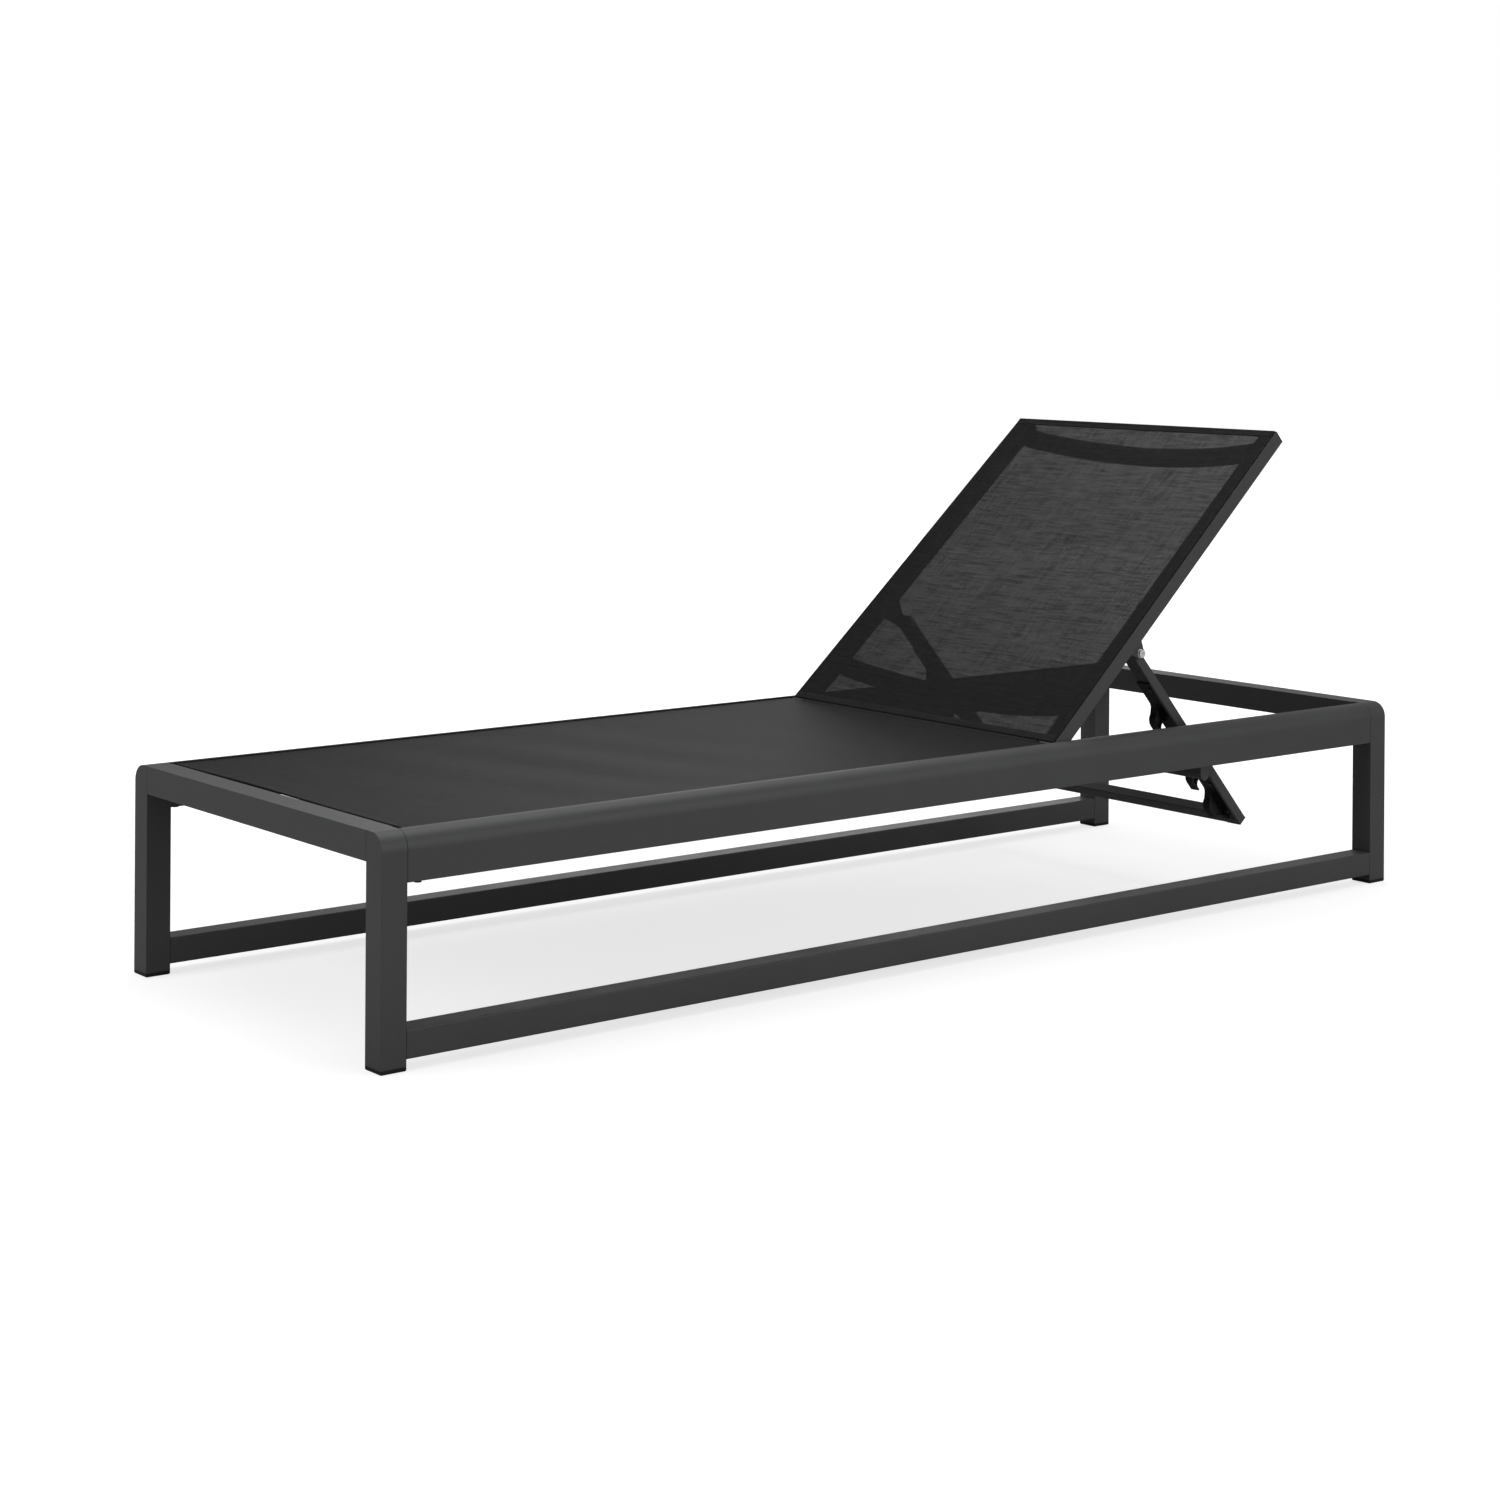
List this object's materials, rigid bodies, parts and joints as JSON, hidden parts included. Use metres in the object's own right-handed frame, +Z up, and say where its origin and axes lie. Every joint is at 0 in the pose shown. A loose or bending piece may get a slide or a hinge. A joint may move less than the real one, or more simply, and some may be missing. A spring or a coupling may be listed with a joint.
{
  "type": "reclining sun lounger",
  "caption": "Low sun lounger with a square-tube frame, a stretched fabric seat and a hinged fabric backrest held up by a swinging hooked support.",
  "frame": {"origin": "on the floor, under the middle of the frame", "axes": "+X towards the head end, +Z up; -Y is the side whose parts are named left, +Y the side whose parts are named right"},
  "size_m": [1.984, 0.6842, 0.7722],
  "materials": {
    "frame_paint": "charcoal powder coat over aluminium, satin",
    "black_plastic": "moulded, matte black",
    "nylon": "natural nylon",
    "sling_fabric": "woven coated mesh, charcoal",
    "dark_screws": "blackened steel",
    "bright_bolts": "stainless steel"
  },
  "bodies": {
    "base": {"leg_foot_left": "frame_paint", "leg_foot_right": "frame_paint", "leg_head_left": "frame_paint", "leg_head_right": "frame_paint", "end_rail_foot": "frame_paint", "end_rail_head": "frame_paint", "side_rail_left": "frame_paint", "side_rail_right": "frame_paint", "stretcher_left": "frame_paint", "stretcher_right": "frame_paint", "corner_blocks": "black_plastic", "foot_pads": "black_plastic", "stretcher_plugs": "black_plastic", "stretcher_bolts": "dark_screws", "end_rail_bolts": "dark_screws", "corner_bolts": "dark_screws", "seat_bow_1": "frame_paint", "seat_bow_2": "frame_paint", "seat_bow_3": "frame_paint", "bow_sockets": "black_plastic", "seat_sling": "sling_fabric", "seat_splines": "black_plastic", "catch_bar": "frame_paint", "hanger_left": "frame_paint", "hanger_right": "frame_paint", "hanger_screws": "dark_screws", "hinge_bolts": "bright_bolts", "hinge_inserts": "bright_bolts", "hinge_washers": "nylon"},
    "backrest": {"back_tube_left": "frame_paint", "back_tube_right": "frame_paint", "hinge_lug_left": "frame_paint", "hinge_lug_right": "frame_paint", "back_bow_lower": "frame_paint", "back_bow_upper": "frame_paint", "back_sling": "sling_fabric", "pivot_ear_left": "frame_paint", "pivot_ear_right": "frame_paint", "back_splines": "black_plastic", "hinge_bushes": "nylon", "tube_caps": "black_plastic", "pivot_bolts": "bright_bolts", "pivot_washers": "bright_bolts", "pivot_nuts": "bright_bolts"},
    "support": {"support_arm_left": "frame_paint", "support_arm_right": "frame_paint", "cross_tube": "frame_paint", "rack_left": "black_plastic", "rack_right": "black_plastic", "rack_screws": "dark_screws", "arm_plugs": "black_plastic", "pivot_bushes": "nylon"}
  },
  "joints": [
    {"name": "backrest_hinge", "type": "hinge", "parent": "base", "child": "backrest", "pos_m": [0.231, 0, 0.2925], "axis": [0, -1, 0], "range_deg": [-41.7, 0]},
    {"name": "support_pivot", "type": "hinge", "parent": "backrest", "child": "support", "pos_m": [0.4431, 0, 0.4232], "axis": [0, -1, 0], "range_deg": [0, 92]}
  ],
  "couplings": [
    {"joint": "support_pivot", "follows": "backrest_hinge", "ratio": -2.2}
  ]
}
